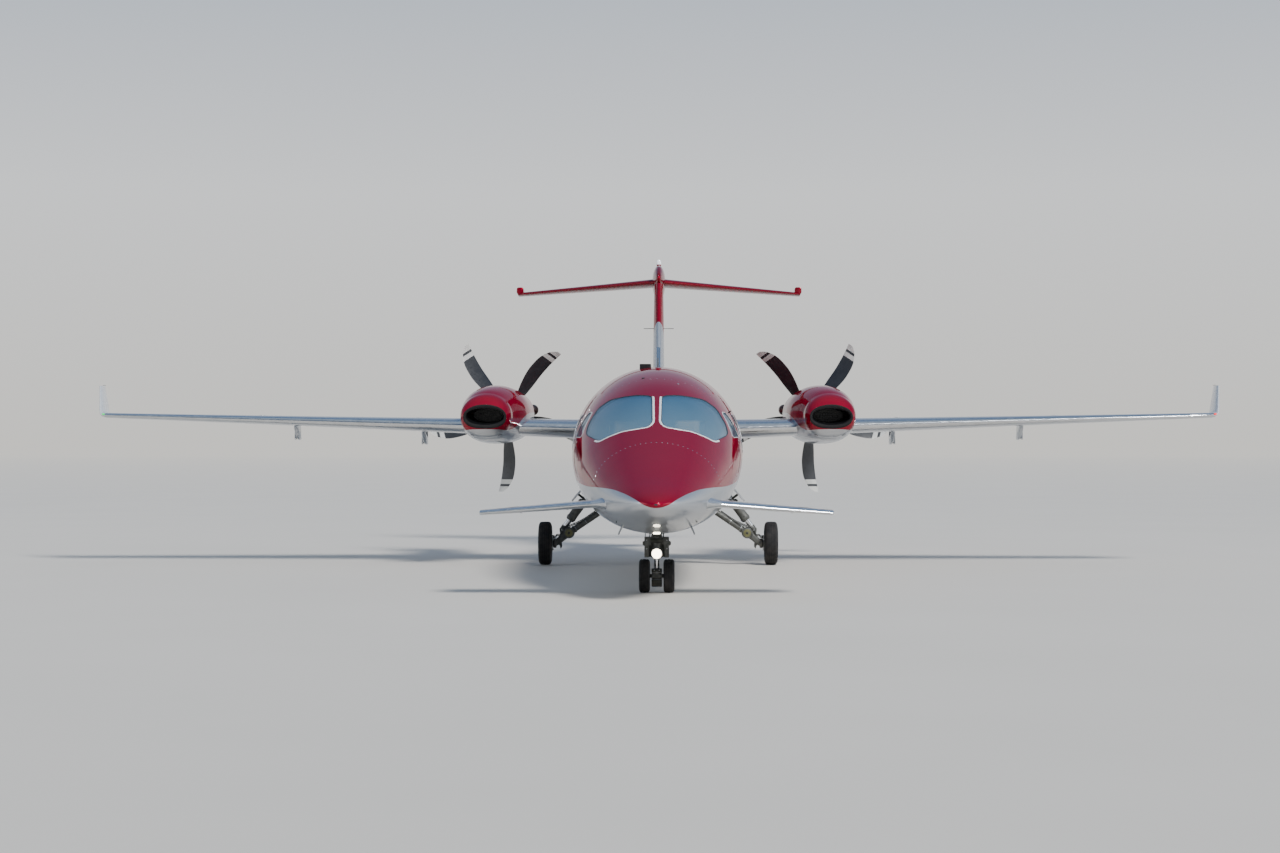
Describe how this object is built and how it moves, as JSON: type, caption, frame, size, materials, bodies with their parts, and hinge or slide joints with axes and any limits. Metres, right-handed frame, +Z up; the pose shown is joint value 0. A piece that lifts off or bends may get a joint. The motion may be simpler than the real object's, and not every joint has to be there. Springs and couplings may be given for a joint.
{
  "type": "twin turboprop aircraft",
  "caption": "Parked business aircraft with a fore wing, a mid wing, pusher propellers, a T tail, opening doors and a wheeled undercarriage.",
  "frame": {"origin": "on the ground, on the centre line, halfway along the length", "axes": "+Z up, nose towards -Y, left wing towards +X"},
  "size_m": [14.3432, 14.41, 4.188],
  "materials": {
    "paint_red": "high gloss metallic crimson over silver",
    "composite_red": "high gloss metallic crimson on composite",
    "paint_silver": "glossy silver",
    "wing_silver": "glossy silver with polished leading edges",
    "composite_silver": "glossy silver",
    "glazing": "clear, slightly blue",
    "trim": "satin lining and carpet",
    "leather": "cream leather",
    "panel_black": "matt black",
    "gear_grey": "satin grey enamel",
    "wheel_alloy": "satin",
    "tyre": "worn rubber",
    "propeller_grey": "dark grey with pale tips",
    "engine_metal": "dull metal"
  },
  "bodies": {
    "airframe": {"radome": "composite_red", "nose_section": "paint_red", "cockpit_shell": "paint_red", "windscreen_left": "glazing", "windscreen_right": "glazing", "cabin_shell": "paint_red", "cabin_windows_left": "glazing", "cabin_windows_right": "glazing", "rear_bulkhead": "trim", "floor": "trim", "pilot_seats": "leather", "cabin_seats_left": "leather", "cabin_seats_right": "leather", "instrument_panel": "panel_black", "centre_section": "paint_red", "rear_fuselage": "paint_red", "tail_cone": "composite_red", "wing_left": "wing_silver", "wing_right": "wing_silver", "foreplane_left": "composite_silver", "foreplane_right": "composite_silver", "fin": "composite_red", "tailplane": "composite_red", "nacelle_left": "composite_red", "nacelle_right": "composite_red", "engine_left": "engine_metal", "engine_right": "engine_metal", "main_leg_left": "gear_grey", "main_leg_right": "gear_grey", "main_gear_door_left": "paint_silver", "main_gear_door_right": "paint_silver", "nose_leg": "gear_grey"},
    "door_upper": {"door_upper": "paint_red", "door_window": "glazing"},
    "door_lower": {"door_lower": "paint_silver"},
    "baggage_door": {"baggage_door": "paint_red"},
    "nose_fork": {"nose_fork": "gear_grey"},
    "nose_wheels": {"nose_rims": "wheel_alloy", "nose_tyre_left": "tyre", "nose_tyre_right": "tyre"},
    "rudder": {"rudder": "composite_red"},
    "main_wheel_left": {"main_rim_left": "wheel_alloy", "main_tyre_left": "tyre"},
    "propeller_left": {"propeller_left": "propeller_grey"},
    "aileron_left": {"aileron_left": "wing_silver"},
    "flap_inner_left": {"flap_inner_left": "wing_silver"},
    "flap_outer_left": {"flap_outer_left": "wing_silver"},
    "foreplane_flap_left": {"foreplane_flap_left": "composite_silver"},
    "elevator_left": {"elevator_left": "composite_red"},
    "main_wheel_right": {"main_rim_right": "wheel_alloy", "main_tyre_right": "tyre"},
    "propeller_right": {"propeller_right": "propeller_grey"},
    "aileron_right": {"aileron_right": "wing_silver"},
    "flap_inner_right": {"flap_inner_right": "wing_silver"},
    "flap_outer_right": {"flap_outer_right": "wing_silver"},
    "foreplane_flap_right": {"foreplane_flap_right": "composite_silver"},
    "elevator_right": {"elevator_right": "composite_red"}
  },
  "joints": [
    {"name": "door_upper_hinge", "type": "hinge", "parent": "airframe", "child": "door_upper", "pos_m": [0.77588, -3.405, 1.85566], "axis": [-0.0798, -0.9957, -0.0464], "range_deg": [0, 100]},
    {"name": "door_lower_hinge", "type": "hinge", "parent": "airframe", "child": "door_lower", "pos_m": [0.50601, -3.405, 0.6783], "axis": [0.0146, 0.9997, -0.0209], "range_deg": [0, 95]},
    {"name": "baggage_door_hinge", "type": "hinge", "parent": "airframe", "child": "baggage_door", "pos_m": [0.6646, 2.355, 1.972], "axis": [0.1132, -0.9936, 0], "range_deg": [0, 80]},
    {"name": "nose_steering", "type": "hinge", "parent": "airframe", "child": "nose_fork", "pos_m": [0, -5.255, 0.172], "axis": [0, 0, 1], "range_deg": [-50, 50]},
    {"name": "nose_wheel_spin", "type": "hinge", "parent": "nose_fork", "child": "nose_wheels", "pos_m": [0, -5.255, 0.172], "axis": [1, 0, 0], "continuous": true},
    {"name": "main_wheel_spin_left", "type": "hinge", "parent": "airframe", "child": "main_wheel_left", "pos_m": [1.42, 0.535, 0.272], "axis": [1, 0, 0], "continuous": true},
    {"name": "main_wheel_spin_right", "type": "hinge", "parent": "airframe", "child": "main_wheel_right", "pos_m": [-1.42, 0.535, 0.272], "axis": [1, 0, 0], "continuous": true},
    {"name": "propeller_spin_left", "type": "hinge", "parent": "airframe", "child": "propeller_left", "pos_m": [2.065, 3.22, 1.945], "axis": [0, 1, 0], "continuous": true},
    {"name": "propeller_spin_right", "type": "hinge", "parent": "airframe", "child": "propeller_right", "pos_m": [-2.065, 3.22, 1.945], "axis": [0, 1, 0], "continuous": true},
    {"name": "rudder_hinge", "type": "hinge", "parent": "airframe", "child": "rudder", "pos_m": [0, 4.8721, 2.65], "axis": [0, 0.5398, 0.8418], "range_deg": [-25, 25]},
    {"name": "aileron_hinge_left", "type": "hinge", "parent": "airframe", "child": "aileron_left", "pos_m": [5.15, 1.31217, 1.83132], "axis": [-0.9958, 0.0866, -0.0287], "range_deg": [-20, 20]},
    {"name": "aileron_hinge_right", "type": "hinge", "parent": "airframe", "child": "aileron_right", "pos_m": [-5.15, 1.31217, 1.83132], "axis": [-0.9958, -0.0866, 0.0287], "range_deg": [-20, 20]},
    {"name": "flap_outer_hinge_left", "type": "hinge", "parent": "airframe", "child": "flap_outer_left", "pos_m": [3.01, 1.48521, 1.53666], "axis": [-0.9958, 0.0849, -0.0355], "range_deg": [0, 45]},
    {"name": "flap_outer_hinge_right", "type": "hinge", "parent": "airframe", "child": "flap_outer_right", "pos_m": [-3.01, 1.48521, 1.53666], "axis": [-0.9958, -0.0849, 0.0355], "range_deg": [0, 45]},
    {"name": "flap_inner_hinge_left", "type": "hinge", "parent": "airframe", "child": "flap_inner_left", "pos_m": [1.03, 1.68687, 1.66422], "axis": [-0.9954, 0.0883, -0.036], "range_deg": [0, 45]},
    {"name": "flap_inner_hinge_right", "type": "hinge", "parent": "airframe", "child": "flap_inner_right", "pos_m": [-1.03, 1.68687, 1.66422], "axis": [-0.9954, -0.0883, 0.036], "range_deg": [0, 45]},
    {"name": "foreplane_flap_hinge_left", "type": "hinge", "parent": "airframe", "child": "foreplane_flap_left", "pos_m": [0.65, -5.62526, 0.90785], "axis": [-0.9965, -0.041, 0.0734], "range_deg": [0, 30]},
    {"name": "foreplane_flap_hinge_right", "type": "hinge", "parent": "airframe", "child": "foreplane_flap_right", "pos_m": [-0.65, -5.62526, 0.90785], "axis": [-0.9965, 0.041, -0.0734], "range_deg": [0, 30]},
    {"name": "elevator_hinge_left", "type": "hinge", "parent": "airframe", "child": "elevator_left", "pos_m": [0.29, 6.18272, 3.85637], "axis": [-0.9096, -0.4132, 0.0428], "range_deg": [-25, 20]},
    {"name": "elevator_hinge_right", "type": "hinge", "parent": "airframe", "child": "elevator_right", "pos_m": [-0.29, 6.18272, 3.85637], "axis": [-0.9096, 0.4132, -0.0428], "range_deg": [-25, 20]}
  ],
  "couplings": [
    {"joint": "aileron_hinge_right", "follows": "aileron_hinge_left", "ratio": -1},
    {"joint": "elevator_hinge_right", "follows": "elevator_hinge_left", "ratio": 1},
    {"joint": "flap_outer_hinge_right", "follows": "flap_outer_hinge_left", "ratio": 1},
    {"joint": "flap_inner_hinge_left", "follows": "flap_outer_hinge_left", "ratio": 1},
    {"joint": "flap_inner_hinge_right", "follows": "flap_outer_hinge_left", "ratio": 1},
    {"joint": "foreplane_flap_hinge_left", "follows": "flap_outer_hinge_left", "ratio": 0.6},
    {"joint": "foreplane_flap_hinge_right", "follows": "flap_outer_hinge_left", "ratio": 0.6}
  ]
}
